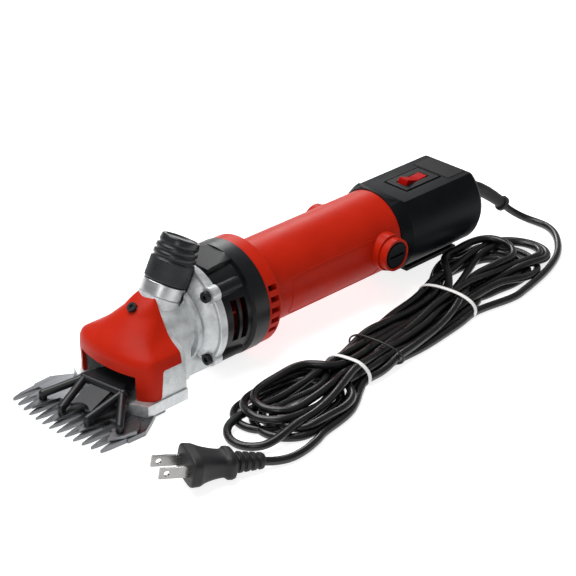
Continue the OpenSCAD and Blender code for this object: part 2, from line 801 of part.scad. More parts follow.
rocker_tilt = 8;
module rocker_button() color("#e02010") translate([switch_x, 0, rocker_z])
    rotate([0, rocker_tilt, 0]) intersection() {
        translate([0, 3.7, 0]) rotate([90, 0, 0]) cylinder(r = 10.3, h = 7.4);
        side_cut([
            [-11, -1.5], [-5, -3.5], [-3, -7.5], [3, -7.5], [5, -3.5], [11, -1.5],
            [11, 5], [9.4, 5.3], [3, 4], [0, 3.6], [-3, 4], [-9.4, 5.3], [-11, 5]
        ], 10);
    }

module label_plate() color("#111214")
    block([144.5, -14.5, top_z - 0.25], [160, 14.5, top_z + 0.25]);

module filter_cover() color(black) difference() {
    union() {
        block([114, -9.5, 0], [160, 9.5, 2.4]);
        for (x = [117, 157], y = [-6, 6]) translate([x, y, 1]) cylinder(r = 2, h = 8);
    }
    rod_x(100, axis_z, 29.03, 70);
}

module filter_mesh() color("#3a3c40") difference() {
    block([120, -7.5, 2.5], [154, 7.5, 9]);
    rod_x(100, axis_z, 29.1, 70);
    for (x = [123 : 4 : 151], y = [-5, 0, 5]) translate([x, y, 0]) cylinder(r = 1.2, h = 20);
}

module cord_clamp() color(black) difference() {
    block([146, -9, 27], [152, 9, 31]);
    clamp_places() translate([0, 0, 20]) cylinder(r = 1.6, h = 20);
    rod_x(140, axis_z, 3.6, 20);
}

module clamp_screws() color(steel) clamp_places()
    translate([0, 0, 31.05]) socket_screw(2.3, 1.6, 1.25, 12);

// ---------------------------------------------------------------- cord

relief_radii = [5.2, 5.1, 4.9, 4.7, 4.5, 4.3, 4.1, 3.9, 3.7];

module strain_relief() color(black) {
    tube(relief_route, relief_radii, 24);
    rod_x(157, axis_z, 7, 4.2);
    ring_end = relief_route[len(relief_route) - 1];
    ring_way = heading(relief_route, len(relief_route) - 1);
    tube([ring_end - 2.6 * ring_way, ring_end - 0.8 * ring_way], [5.2, 5.2], 24);
}

module cord_lead() color(black) tube(lead_route, same(cord_d / 2, lead_route), 10);

module cord_tail() color(black) tube(tail_route, same(cord_d / 2, tail_route), 10);

module cord_hank() color(black) linear_extrude(hank_h)
    for (i = [0 : len(hank_shape) - 2]) hull()
        for (c = [hank_shape[i], hank_shape[i + 1]])
            translate([c[0], c[1]]) circle(r = c[2], $fn = 32);

// A band round the hank: [x, y, direction, half-width]
module band(place, t, w) translate([place[0], place[1], 0]) rotate([0, 0, place[2]])
    rotate([90, 0, 90]) translate([0, 0, -w / 2]) linear_extrude(w) difference() {
        square_round(place[3] + t, hank_h + t + 0.4);
        translate([0, t]) square_round(place[3], hank_h - t + 0.4);
    }

// A rounded box that stands on the axis: half-width and height
module square_round(half, h) {
    r = 5;
    translate([-half, 0]) square([2 * half, h - r]);
    translate([r - half, 0]) square([2 * (half - r), h]);
    for (side = [-1, 1]) translate([side * (half - r), h - r]) circle(r = r);
}

module hank_ties() color("white") for (place = tie_at) band(place, 0.8, 2.6);

module twist_tie() color(black) band([20, -72, 9, 17], 0.8, 1.2);

// ---------------------------------------------------------------- plug

module at_plug() translate(plug_start) rotate([0, 0, plug_turn]) rotate([0, -plug_pitch, 0])
    children();

module plug_body() color(black) at_plug() {
    difference() {
        intersection() {
            translate([0, 0, -12]) linear_extrude(24) polygon([
                [0, -4.6], [17, -6], [18, -10], [22, -10], [24, -8], [30, -8.6],
                [34, -9.6], [38, -12.5], [plug_l - 1, -13], [plug_l, -12], [plug_l, 12],
                [plug_l - 1, 13], [38, 12.5], [34, 9.6], [30, 8.6], [24, 8], [22, 10],
                [18, 10], [17, 6], [0, 4.6]
            ]);
            side_cut([
                [0, -4.3], [17, -5.2], [18, -7], [22, -7.6], [24, -6.6], [30, -7],
                [38, -8.4], [plug_l, -8.4], [plug_l, 8.4], [38, 8.4], [30, 7],
                [24, 6.6], [22, 7.6], [18, 7], [17, 5.2], [0, 4.3]
            ], 40);
        }
        for (u = [3 : 4 : 15]) {
            block([u, -10, 4], [u + 1.6, 10, 10]);
            block([u, -10, -10], [u + 1.6, 10, -4]);
        }
        for (side = [-1, 1])
            block([plug_l - 8, side * 6.35 - 0.76, -3.2], [plug_l + 1, side * 6.35 + 0.76, 3.2]);
    }
}

module plug_blades() color("#d8d4c8") at_plug() for (side = [-1, 1]) difference() {
    block([plug_l - 7.9, side * 6.35 - 0.75, -3.17], [plug_l + 16.5, side * 6.35 + 0.75, 3.17]);
    translate([plug_l + 12.5, side * 6.35 + 2, 0]) rotate([90, 0, 0]) cylinder(r = 1.6, h = 4);
}

// ---------------------------------------------------------------- drawing

motor_housing();
fan_shroud();
gearbox_casting();
gearbox_screws();
head_casting();
head_screws();
head_cover();
cover_screw();
tension_barrel();
tension_nut();
tension_pin();
comb();
comb_screws();
cutter();
fork();
fork_feet();
fulcrum_post();
crank_shaft();
crank_roller();
drive_gear();
crank_bearing();
crank_bush();
pinion();
armature_shaft();
rotor_core();
rotor_windings();
commutator();
cooling_fan();
front_bearing();
rear_bearing();
stator_core();
stator_coils();
brush_holders();
carbon_brushes();
brush_springs();
brush_caps();
rear_cover();
rear_cover_screws();
switch_frame();
switch_body();
rocker_button();
label_plate();
filter_cover();
filter_mesh();
cord_clamp();
clamp_screws();
strain_relief();
cord_lead();
cord_hank();
cord_tail();
hank_ties();
twist_tie();
plug_body();
plug_blades();
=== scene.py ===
import json
import math

import bmesh
import bpy
import numpy as np
from mathutils import Matrix, Vector


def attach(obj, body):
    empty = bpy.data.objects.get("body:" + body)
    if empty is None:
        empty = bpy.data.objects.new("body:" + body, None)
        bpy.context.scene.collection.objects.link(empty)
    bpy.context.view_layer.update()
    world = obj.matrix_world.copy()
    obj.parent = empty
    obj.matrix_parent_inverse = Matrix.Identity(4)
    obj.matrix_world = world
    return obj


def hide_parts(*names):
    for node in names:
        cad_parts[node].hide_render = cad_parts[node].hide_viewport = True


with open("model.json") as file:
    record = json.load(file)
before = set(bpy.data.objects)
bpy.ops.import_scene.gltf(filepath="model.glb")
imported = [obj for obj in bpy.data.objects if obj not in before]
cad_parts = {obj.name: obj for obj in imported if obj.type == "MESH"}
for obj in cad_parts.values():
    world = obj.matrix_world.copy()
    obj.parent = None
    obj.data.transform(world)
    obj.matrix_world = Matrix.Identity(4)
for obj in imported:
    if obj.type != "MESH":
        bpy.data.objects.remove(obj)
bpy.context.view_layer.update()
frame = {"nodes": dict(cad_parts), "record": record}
MM = 0.001
AXIS_Z = 34            # height of the handle's axis over the ground, in millimetres
HANDLE_R = 25.8        # radius of the handle at its side panel
HEAD_FACE_X = -91      # where the head cover's crown ends

# ------------------------------------------------------------------ camera

TARGET = Vector((18.84, 0, 19.8)) * MM
BACK = Vector((-0.6185, -0.6303, 0.4693)).normalized()
DISTANCE = 1.1954

cam_data = bpy.data.cameras.new("camera")
cam_data.lens = 125
cam_data.sensor_width = 36
cam_data.clip_start = 0.05
cam_data.clip_end = 20
cam = bpy.data.objects.new("camera", cam_data)
bpy.context.scene.collection.objects.link(cam)
cam.location = TARGET + BACK * DISTANCE
cam.rotation_mode = "QUATERNION"
cam.rotation_quaternion = (-BACK).to_track_quat("-Z", "Y")
bpy.context.scene.camera = cam

# ------------------------------------------------------------------ the cord's path

CORD_R = 2.4
CORD_D = 2 * CORD_R
LEAD = [
    (209, -8, 14), (212, -10, 10.5), (216, -13, 7), (220, -18, 4), (223, -25, 2.5),
    (223, -33, 2.5), (220, -41, 2.5), (215, -48, 2.5), (208, -55, 2.5), (199, -62, 2.5),
    (188, -68, 2.5), (175, -73, 2.5), (160, -77, 2.5), (144, -80, 2.5), (130, -81, 2.5),
]
TAIL = [
    (-62, -109, 2.5), (-72, -113, 2.5), (-82, -115, 2.5), (-92, -115, 2.6),
    (-101, -112, 3.2), (-107, -109, 4.5),
]
# Height of each row of strands at the ties, and how far apart the layers of folds are
ROWS = (2.4, 6.6, 10.8)
LAYER = 4.4
# Folds at the two ends, in the order they were wound: x, y, radius, layer
LEFT = [
    (-62, -80, 20.5, 0), (-60, -80, 15.6, 0), (-66, -75, 18, 1), (-60, -87, 15.2, 1.2),
    (-64, -78, 18.5, 2), (-88, -84, 15.2, 2.4), (-60, -73, 15.5, 3),
]
RIGHT = [
    (155, -47, 20.5, 0), (152, -47, 15.6, 0), (158, -46, 20, 1), (150, -45, 15.2, 1),
    (173, -46, 19.5, 1.8), (176, -47, 15.4, 2.2), (154, -44, 18, 2.7),
]
# Each pass's place at a tie: distance across the hank and row, going out and coming back
NEAR_OUT = [(-7.2, 0), (-2.4, 0), (-9.6, 1), (-4.8, 1), (0, 1), (-7.2, 2), (-2.4, 2), (-13, 0)]
NEAR_BACK = [(12, 0), (7.2, 0), (2.4, 0), (9.6, 1), (4.8, 1), (7.2, 2), (2.4, 2)]
FAR_OUT = [
    (-15.9, 0), (-5.3, 0), (-10.6, 0), (-7.9, 1), (0, 0), (-2.6, 1), (-5, 2), (-13.2, 1),
]
FAR_BACK = [(15.9, 0), (10.6, 0), (5.3, 0), (7.9, 1), (13.2, 1), (2.6, 1), (3, 2)]
# Ties: x, y, direction in degrees, half-width, height
TIES = [(-9, -77, 10, 14.5, 14.6), (95, -60, 8, 20.0, 15.5), (20, -72, 9, 16.5, 15.5)]
# Where the first and second tie hold the strands, and a place halfway
NEAR_TIE, HALFWAY, FAR_TIE = (-9, -77), (43, -68.5), (95, -60)
# The tool as a wall beside the hank: handle and rear cover, and where the second starts
HANDLE_WALL_R, REAR_WALL_R, WALL_STEP_X = 26.2, 29.3, 88
STEP = 3.0             # distance between the path's points


def spread_along(points, step):
    """A smooth curve through the points, with a point every step."""
    p = np.array(points, float)
    q = np.vstack([2 * p[0] - p[1], p, 2 * p[-1] - p[-2]])
    out = []
    for i in range(1, len(q) - 2):
        a, b, c, d = q[i - 1 : i + 3]
        t = np.linspace(0, 1, max(2, int(np.linalg.norm(c - b) / 0.5)), endpoint=False)
        t = t[:, None]
        out.append(0.5 * (2 * b + (c - a) * t + (2 * a - 5 * b + 4 * c - d) * t**2
                          + (3 * b - a - 3 * c + d) * t**3))
    out = np.vstack(out + [p[-1:]])
    s = np.r_[0, np.cumsum(np.linalg.norm(np.diff(out, axis=0), axis=1))]
    grid = np.linspace(0, s[-1], int(round(s[-1] / step)) + 1)
    return np.stack([np.interp(grid, s, out[:, k]) for k in range(3)], 1)


def fold(x, y, r, z, turns):
    return [(x + r * math.cos(math.radians(t)), y + r * math.sin(math.radians(t)), z)
            for t in turns]


def passing(a, za, b, zb):
    """One pass from the far tie, a across and za up, to the near tie, b across and zb up."""
    return [(FAR_TIE[0], FAR_TIE[1] + a, za),
            (HALFWAY[0], HALFWAY[1] + (a + b) / 2, (za + zb) / 2),
            (NEAR_TIE[0], NEAR_TIE[1] + b, zb)]


def wound():
    """The cord's route before it settles."""
    points = list(LEAD)
    for k in range(len(LEFT) + 1):
        a, ra = FAR_OUT[k]
        b, rb = NEAR_OUT[k]
        za, zb = ROWS[ra], ROWS[rb]
        points += passing(a, za, b, zb)
        if k == len(LEFT):
            break
        x, y, r, layer = LEFT[k]
        z = CORD_R + LAYER * layer
        points += [(x + 30, y - r * 0.86, (z + zb) / 2), (x + 9, y - r, z)]
        points += fold(x, y, r, z, (255, 225, 195, 165, 135, 105))
        b, rb = NEAR_BACK[k]
        a, ra = FAR_BACK[k]
        za, zb = ROWS[ra], ROWS[rb]
        points += [(x + 9, y + r, z), (x + 30, y + r * 0.86, (z + zb) / 2)]
        points += passing(a, za, b, zb)[::-1]
        x, y, r, layer = RIGHT[k]
        z = CORD_R + LAYER * layer
        points += [(x - 28, y + r * 0.86, (z + za) / 2), (x - 9, y + r, z)]
        points += fold(x, y, r, z, (75, 45, 15, -15, -45, -75))
        za = ROWS[FAR_OUT[k + 1][1]]
        points += [(x - 9, y - r, z), (x - 28, y - r * 0.86, (z + za) / 2)]
    points += [(-30, -100, 2.5), (-46, -105.5, 2.5)]
    return points + TAIL


def settle(p, held, rounds=280):
    """Lays the strands beside and on each other: stiff, a diameter apart, inside the ties."""
    n = len(p)
    free = np.ones(n, bool)
    free[held] = False
    w = free.astype(float)
    ramp = np.convolve(w, np.ones(41) / 41, "same")
    ramp = np.clip(2 * ramp - 1, 0, 1)[:, None] * w[:, None]
    d2 = np.zeros((n - 2, n))
    i = np.arange(n - 2)
    d2[i, i], d2[i, i + 1], d2[i, i + 2] = 1, -2, 1
    bend = d2.T @ d2
    stiff = np.linalg.inv(np.eye(n) + 400 * bend)
    softer = np.linalg.inv(np.eye(n) + 30 * bend)
    start = p.copy()
    reach = CORD_D * 0.985
    for k in range(rounds):
        late = k / rounds
        if k % 2 == 0 and late < 0.85:
            moved = p - start
            smooth = (stiff if late < 0.8 else softer) @ moved
            p = start + moved + ramp * (smooth - moved)
        p[:, 2] -= 0.12 * w * (1 if late < 0.8 else 0.2)
        for sub in range(4):
            if k % 5 == 0 and sub == 0:
                q = p.astype(np.float32)
                gap = ((q[:, None, :] - q[None, :, :]) ** 2).sum(2)
                first, second = np.nonzero(np.triu(gap < (CORD_D + 3) ** 2, 6))
            v = p[second] - p[first]
            dist = np.linalg.norm(v, axis=1)
            hit = dist < reach
            a, b, v, dist = first[hit], second[hit], v[hit], np.maximum(dist[hit], 1e-6)
            push = ((reach - dist) / dist)[:, None] * v
            total = np.maximum(w[a] + w[b], 1)
            move = np.zeros_like(p)
            count = np.zeros(n)
            np.add.at(move, a, -push * (w[a] / total)[:, None])
            np.add.at(move, b, push * (w[b] / total)[:, None])
            np.add.at(count, a, 1)
            np.add.at(count, b, 1)
            p = p + 1.2 * move / np.maximum(count, 1)[:, None]
            for x, y, turn, half, high in TIES:
                c, s = math.cos(math.radians(turn)), math.sin(math.radians(turn))
                rel = p[:, :2] - [x, y]
                along, side = rel @ [c, s], rel @ [-s, c]
                away = np.maximum(np.abs(along) - 3, 0)
                near = (away < 25) & free
                limit, top = half - CORD_R + 0.4 * away, high - CORD_R + 0.4 * away
                pull = (np.clip(side, -limit, limit) - side) * near
                p[:, :2] += pull[:, None] * np.array([-s, c]) * 0.6
                p[:, 2] -= np.maximum(p[:, 2] - top, 0) * near * 0.6
            # the tool's handle is a wall that the strands lean on
            out = p[:, 1:] - [0, AXIS_Z]
            far = np.linalg.norm(out, axis=1)
            need = np.where(p[:, 0] > WALL_STEP_X, REAR_WALL_R, HANDLE_WALL_R) + CORD_R
            bad = (far < need) & free
            shift = out / np.maximum(far, 1e-6)[:, None] * (need - far)[:, None]
            p[bad, 1:] += shift[bad] * 0.8
            p[:, 2] = np.where(free, np.maximum(p[:, 2], CORD_R + 0.05), p[:, 2])
    light = np.linalg.inv(np.eye(n) + 5 * bend)
    return p + ramp * (light @ (p - start) + start - p)


def cord_path():
    """The settled path. The lead and the tail outside the hank are held where they are."""
    p = spread_along(wound(), STEP)
    end = 200
    a = int(np.argmin(((p[:end] - np.array(LEAD[-1])) ** 2).sum(1)))
    b = len(p) - end + int(np.argmin(((p[-end:] - np.array(TAIL[0])) ** 2).sum(1)))
    held = np.r_[np.arange(0, a - 6), np.arange(b + 4, len(p))]
    return settle(p, held)


def curve_piece(name, points, radius, closed=False, order=4, sides=6):
    """A round tube along points, in millimetres."""
    data = bpy.data.curves.new(name, "CURVE")
    data.dimensions = "3D"
    data.bevel_depth = radius * MM
    data.bevel_resolution = sides
    data.use_fill_caps = True
    data.resolution_u = 2
    spline = data.splines.new("NURBS")
    spline.points.add(len(points) - 1)
    for point, co in zip(spline.points, points):
        point.co = (co[0] * MM, co[1] * MM, co[2] * MM, 1)
    spline.order_u = order
    spline.use_endpoint_u = not closed
    spline.use_cyclic_u = closed
    obj = bpy.data.objects.new(name, data)
    bpy.context.scene.collection.objects.link(obj)
    return obj


cord_points = cord_path()

# ------------------------------------------------------------------ materials


def node_tree(name):
    m = bpy.data.materials.new(name)
    m.use_nodes = True
    t = m.node_tree
    shader = t.nodes["Principled BSDF"]
    where = t.nodes.new("ShaderNodeTexCoord").outputs["Object"]
    return m, t, shader, where


def noise(t, where, scale, detail=3.0, rough=0.55, stretch=None):
    if stretch:
        mapping = t.nodes.new("ShaderNodeMapping")
        mapping.inputs["Scale"].default_value = stretch
        t.links.new(where, mapping.inputs["Vector"])
        where = mapping.outputs["Vector"]
    n = t.nodes.new("ShaderNodeTexNoise")
    n.inputs["Scale"].default_value = scale
    n.inputs["Detail"].default_value = detail
    n.inputs["Roughness"].default_value = rough
    t.links.new(where, n.inputs["Vector"])
    return n.outputs["Fac"]


def ramp_between(t, value, low, high, start=0.3, end=0.7):
    r = t.nodes.new("ShaderNodeMapRange")
    r.inputs["From Min"].default_value = start
    r.inputs["From Max"].default_value = end
    r.inputs["To Min"].default_value = low
    r.inputs["To Max"].default_value = high
    t.links.new(value, r.inputs["Value"])
    return r.outputs["Result"]


def mix_colour(t, value, a, b):
    m = t.nodes.new("ShaderNodeMix")
    m.data_type = "RGBA"
    m.inputs["A"].default_value = (*a, 1)
    m.inputs["B"].default_value = (*b, 1)
    t.links.new(value, m.inputs["Factor"])
    return m.outputs["Result"]


def bump(t, shader, height, strength, distance, below=None):
    b = t.nodes.new("ShaderNodeBump")
    b.inputs["Strength"].default_value = strength
    b.inputs["Distance"].default_value = distance
    t.links.new(height, b.inputs["Height"])
    if below:
        t.links.new(below, b.inputs["Normal"])
    t.links.new(b.outputs["Normal"], shader.inputs["Normal"])
    return b.outputs["Normal"]


def surface(name, colour, rough, metallic=0.0, vary=0.08, grain=2500, depth=0.00004,
            grain_strength=0.25, cloud=60, coat=0.0, stretch=None, rough_vary=0.06,
            specular=0.5):
    """A procedural material: a cloudy colour, uneven gloss and a fine grain."""
    m, t, shader, where = node_tree(name)
    clouds = noise(t, where, cloud, 4.0, 0.6, stretch)
    fine = noise(t, where, grain, 2.0, 0.5, stretch)
    share = ramp_between(t, clouds, 0, 1)
    dark = tuple(c * (1 - vary) for c in colour)
    light = tuple(min(1.0, c * (1 + vary)) for c in colour)
    t.links.new(mix_colour(t, share, dark, light), shader.inputs["Base Color"])
    t.links.new(ramp_between(t, clouds, rough - rough_vary, rough + rough_vary),
                shader.inputs["Roughness"])
    shader.inputs["Metallic"].default_value = metallic
    shader.inputs["Specular IOR Level"].default_value = specular
    shader.inputs["Coat Weight"].default_value = coat
    shader.inputs["Coat Roughness"].default_value = 0.12
    bump(t, shader, fine, grain_strength, depth)
    return m


LOOKS = {
    "red_shell": surface("red_shell", (0.44, 0.0145, 0.0035), 0.4, vary=0.07, grain=3000,
                         grain_strength=0.14, specular=0.08),
    "red_fan": surface("red_fan", (0.4, 0.012, 0.006), 0.5, specular=0.2),
    "black_shell": surface("black_shell", (0.0035, 0.0044, 0.0055), 0.42, grain=2600,
                           grain_strength=0.35, vary=0.25, specular=0.08),
    "shroud_shell": surface("shroud_shell", (0.0045, 0.0052, 0.0062), 0.38, grain=2600,
                            grain_strength=0.35, vary=0.25, specular=0.27),
    "knob": surface("knob", (0.018, 0.019, 0.021), 0.3, grain=3000, vary=0.2, metallic=0.3),
    "cast_head": surface("cast_head", (0.62, 0.64, 0.65), 0.45, metallic=0.65, grain=900,
                         grain_strength=0.8, depth=0.00025, vary=0.18, cloud=180,
                         rough_vary=0.1),
    "bright_aluminium": surface("bright_aluminium", (0.56, 0.57, 0.58), 0.36, metallic=1.0,
                                grain=1500, stretch=(1, 1, 8)),
    "blade_steel": surface("blade_steel", (0.17, 0.175, 0.185), 0.34, metallic=1.0, grain=900,
                           stretch=(0.12, 3, 3), cloud=120, vary=0.15, rough_vary=0.1,
                           grain_strength=0.3),
    "steel": surface("steel", (0.5, 0.51, 0.53), 0.28, metallic=1.0, cloud=200),
    "black_steel": surface("black_steel", (0.010, 0.0105, 0.012), 0.34, metallic=0.3,
                           grain=1500, grain_strength=0.4, vary=0.25, depth=0.00006),
    "core_steel": surface("core_steel", (0.3, 0.3, 0.31), 0.4, metallic=0.9),
    "bronze": surface("bronze", (0.5, 0.3, 0.12), 0.35, metallic=1.0),
    "brass": surface("brass", (0.62, 0.43, 0.16), 0.3, metallic=1.0),
    "copper": surface("copper", (0.45, 0.15, 0.06), 0.35, metallic=0.8),
    "carbon": surface("carbon", (0.03, 0.03, 0.03), 0.6),
    "rocker_red": surface("rocker_red", (0.34, 0.004, 0.0025), 0.4, specular=0.04),
    "switch_plastic": surface("switch_plastic", (0.004, 0.004, 0.005), 0.42, specular=0.12),
    "label": surface("label", (0.004, 0.004, 0.0045), 0.5, specular=0.15, grain_strength=0.05),
    "cord_pvc": surface("cord_pvc", (0.0045, 0.0047, 0.0053), 0.3, grain=2500,
                        grain_strength=0.12, vary=0.3, cloud=90, rough_vary=0.08),
    "plug_pvc": surface("plug_pvc", (0.011, 0.011, 0.0125), 0.48, grain=2600, vary=0.25,
                        grain_strength=0.4, specular=0.3),
    "tie_white": surface("tie_white", (0.8, 0.8, 0.79), 0.4, vary=0.04),
    "tie_black": surface("tie_black", (0.012, 0.012, 0.013), 0.45),
    "blade_plate": surface("blade_plate", (0.3, 0.295, 0.29), 0.26, metallic=1.0,
                           stretch=(1, 4, 4)),
}

slots = {s["node"]: s["material_slot"] for s in frame["record"]["subparts"]}
for node, obj in frame["nodes"].items():
    obj.data.materials.clear()
    obj.data.materials.append(LOOKS["shroud_shell" if node == "fan_shroud" else slots[node]])


def finish_piece(obj, slot, body, replaced=()):
    obj.data.materials.clear()
    obj.data.materials.append(LOOKS[slot])
    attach(obj, body)
    if replaced:
        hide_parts(*replaced)
    return obj


def mesh_piece(name, verts, faces, smooth=True):
    data = bpy.data.meshes.new(name)
    data.from_pydata([tuple(c * MM for c in v) for v in verts], [], faces)
    data.validate()
    data.update()
    if smooth:
        data.shade_smooth()
    obj = bpy.data.objects.new(name, data)
    bpy.context.scene.collection.objects.link(obj)
    return obj


# ------------------------------------------------------------------ cord and ties

cord = finish_piece(curve_piece("mains_cord", cord_points, CORD_R), "cord_pvc", "casing",
                    ("cord_lead", "cord_hank", "cord_tail"))


def hull(points):
    """The convex outline of 2-D points, anticlockwise."""
    pts = sorted(set(map(tuple, np.round(points, 4))))

    def half(seq):
        out = []
        for p in seq:
            while len(out) > 1 and ((out[-1][0] - out[-2][0]) * (p[1] - out[-2][1])
                                    - (out[-1][1] - out[-2][1]) * (p[0] - out[-2][0])) <= 0:
                out.pop()
            out.append(p)
        return out[:-1]
    return np.array(half(pts) + half(pts[::-1]))


def girth(tie, clear, count=96):
    """The tight loop round the strands where a tie lies: points across and up."""
    x, y, turn, half, high = tie
    c, s = math.cos(math.radians(turn)), math.sin(math.radians(turn))
    rel = cord_points[:, :2] - [x, y]
    near = np.abs(rel @ [c, s]) < 2.2
    near &= np.abs(rel @ [-s, c]) < half + 6
    centres = np.stack([rel[near] @ [-s, c], cord_points[near, 2]], 1)
    t = np.linspace(0, 2 * np.pi, 40, endpoint=False)
    ring = (CORD_R + clear) * np.stack([np.cos(t), np.sin(t)], 1)
    outline = hull((centres[:, None, :] + ring[None]).reshape(-1, 2))
    outline = np.vstack([outline, outline[:1]])
    length = np.r_[0, np.cumsum(np.linalg.norm(np.diff(outline, axis=0), axis=1))]
    grid = np.linspace(0, length[-1], count, endpoint=False)
    loop = np.stack([np.interp(grid, length, outline[:, k]) for k in range(2)], 1)
    low, tall = outline.min(0), outline.max(0)
    middle, size = (low + tall) / 2, (tall - low) / 2
    way = (loop - middle) / size
    far = (np.abs(way) ** 2.3).sum(1) ** (1 / 2.3)
    loop = middle + (loop - middle) * np.maximum(1 / far, 1)[:, None]
    kernel = np.ones(7) / 7
    for _ in range(2):
        loop = np.stack([np.convolve(np.r_[loop[-3:, k], loop[:, k], loop[:3, k]], kernel,
                                     "valid") for k in range(2)], 1)
    loop[:, 1] = np.maximum(loop[:, 1], 0.45)
    return loop


def placed(tie, along, across, up):
    x, y, turn = tie[:3]
    c, s = math.cos(math.radians(turn)), math.sin(math.radians(turn))
    return (x + along * c - across * s, y + along * s + across * c, up)


def band_piece(name, ties, width, thick):
    verts, faces = [], []
    profile = [(-0.5, 0.15), (-0.4, 0.5), (0.4, 0.5), (0.5, 0.15), (0.5, -0.3), (0.4, -0.5),
               (-0.4, -0.5), (-0.5, -0.3)]
    for tie in ties:
        loop = girth(tie, thick * 0.5)
        n, m, base = len(loop), len(profile), len(verts)
        for i in range(n):
            d = loop[(i + 1) % n] - loop[i - 1]
            out = np.array([d[1], -d[0]]) / max(np.linalg.norm(d), 1e-6)
            for along, up in profile:
                q = loop[i] + out * up * thick
                verts.append(placed(tie, along * width, q[0], max(q[1], 0.04)))
        for i in range(n):
            for j in range(m):
                a, b = base + i * m + j, base + i * m + (j + 1) % m
                c, d = base + ((i + 1) % n) * m + (j + 1) % m, base + ((i + 1) % n) * m + j
                faces.append((a, b, c, d))
    return mesh_piece(name, verts, faces)


finish_piece(band_piece("white_bands", TIES[:2], 2.6, 0.9), "tie_white", "casing",
             ("hank_ties",))

# ------------------------------------------------------------------ pieces taken from the CAD


def soften(node, width=0.4, segments=2, angle=32):
    """Rounds a CAD piece's hard edges and evens its shading."""
    obj = frame["nodes"][node]
    obj.data.shade_smooth()
    weld = obj.modifiers.new("weld", "WELD")
    weld.merge_threshold = 0.00002
    flat = obj.modifiers.new("flat", "DECIMATE")
    flat.decimate_type = "DISSOLVE"
    flat.angle_limit = math.radians(0.6)
    edge = obj.modifiers.new("edge", "BEVEL")
    edge.width = width * MM
    edge.segments = segments
    edge.limit_method = "ANGLE"
    edge.angle_limit = math.radians(angle)
    even = obj.modifiers.new("even", "WEIGHTED_NORMAL")
    even.weight = 60


for node, width in {
    "head_casting": 0.9, "gearbox_casting": 0.8, "tension_barrel": 0.5, "fan_shroud": 0.5,
    "motor_housing": 0.5, "rear_cover": 0.8, "switch_frame": 0.3, "rocker_button": 0.5,
    "label_plate": 0.1, "brush_caps": 0.5, "strain_relief": 0.3, "filter_cover": 0.5,
    "comb": 0.22, "cutter": 0.25, "fork": 0.5, "plug_blades": 0.2, "gearbox_screws": 0.25,
    "cover_screw": 0.2, "comb_screws": 0.25,
}.items():
    soften(node, width)

# ------------------------------------------------------------------ tension nut

LEAN = math.radians(29)
NUT_FOOT = (-98, 22)   # x and z where the nut's axis starts
NUT_START = 42.8       # from there to the nut's lower edge
NUT_R = 12.9
KNURLS = 64


def on_nut(s, r, t):
    """A point s above the nut's lower edge, r out from its leaning axis."""
    s += NUT_START
    out, y = r * math.cos(t), r * math.sin(t)
    return (NUT_FOOT[0] + s * math.sin(LEAN) + out * math.cos(LEAN), y,
            NUT_FOOT[1] + s * math.cos(LEAN) - out * math.sin(LEAN))


def nut_piece():
    pitch = 2 * math.pi * NUT_R / KNURLS
    columns = KNURLS * 5
    rows = [(0, 8.6, 0), (0, 11.9, 0), (0.25, 12.4, 0), (0.7, 12.6, 0)]
    rows += [(0.9 + pitch / 5 * i, NUT_R, 1) for i in range(46)]
    rows += [(s, r, 0) for s, r in (
        (12.6, 12.6), (13.0, 12.2), (13.3, 11.6), (14.0, 11.6), (14.3, 12.2), (14.7, 12.5),
        (15.3, 12.62), (16.2, 12.6), (16.7, 12.45), (17.0, 12.1), (17.2, 11.4), (17.9, 11.3),
        (18.1, 11.9), (18.5, 12.2), (19.1, 12.3), (20.0, 12.2), (20.5, 12.0), (20.8, 11.6),
        (21.0, 10.9), (21.7, 10.8), (21.9, 11.3), (22.4, 11.55), (23.2, 11.6), (25.4, 11.2),
        (26.0, 11.05), (26.4, 10.7), (26.55, 10.3), (26.5, 9.9), (26.1, 9.5), (25.7, 9.2),
        (25.6, 8.6), (25.6, 4.0))]
    verts = []
    for s, r, cut in rows:
        for j in range(columns):
            t = 2 * math.pi * j / columns
            dip = 0.0
            if cut:
                a = (KNURLS * t / (2 * math.pi) + s / pitch) % 1
                b = (KNURLS * t / (2 * math.pi) - s / pitch) % 1
                dip = 0.42 * max(abs(2 * a - 1), abs(2 * b - 1)) ** 2.0
            verts.append(on_nut(s, r - dip, t))
    verts.append(on_nut(25.6, 0, 0))
    faces = []
    for i in range(len(rows) - 1):
        for j in range(columns):
            k = (j + 1) % columns
            faces.append((i * columns + j, i * columns + k,
                          (i + 1) * columns + k, (i + 1) * columns + j))
    last = (len(rows) - 1) * columns
    faces += [(last + j, last + (j + 1) % columns, len(verts) - 1) for j in range(columns)]
    return mesh_piece("knurled_nut", verts, faces)


finish_piece(nut_piece(), "knob", "nut", ("tension_nut",))

# ------------------------------------------------------------------ head cover

# Half-width and front end of the head at each height
WIDTHS = [(3, 31.5), (26, 31.5), (30, 31.2), (33.5, 30.2), (36, 26.5), (38, 22.6), (41.3, 18.8),
          (44.6, 16), (48, 13.4), (51.6, 11), (54.4, 9), (57, 6.6)]
NOSE = [(9, -123.9), (24, -124.5), (31, -124.5), (34.5, -123), (38, -119.5), (41, -115.5),
        (44.8, -110.5), (48.2, -106), (52, -101.3), (54.8, -97), (57, -91.6)]
MOUTH_Y = 23
MOUTH_TOP = 25
NOSE_DEPTH = 12.0
COVER_T = 2
SCREW_AT, SCREW_LEAN = (-101.4, 0, 51.9), math.radians(38)


def eased(table, z, spread):
    """A table's value at z, averaged a little to either side so that its corners are soft."""
    x, y = zip(*table)
    return float(np.mean(np.interp(z + np.linspace(-spread, spread, 9), x, y)))


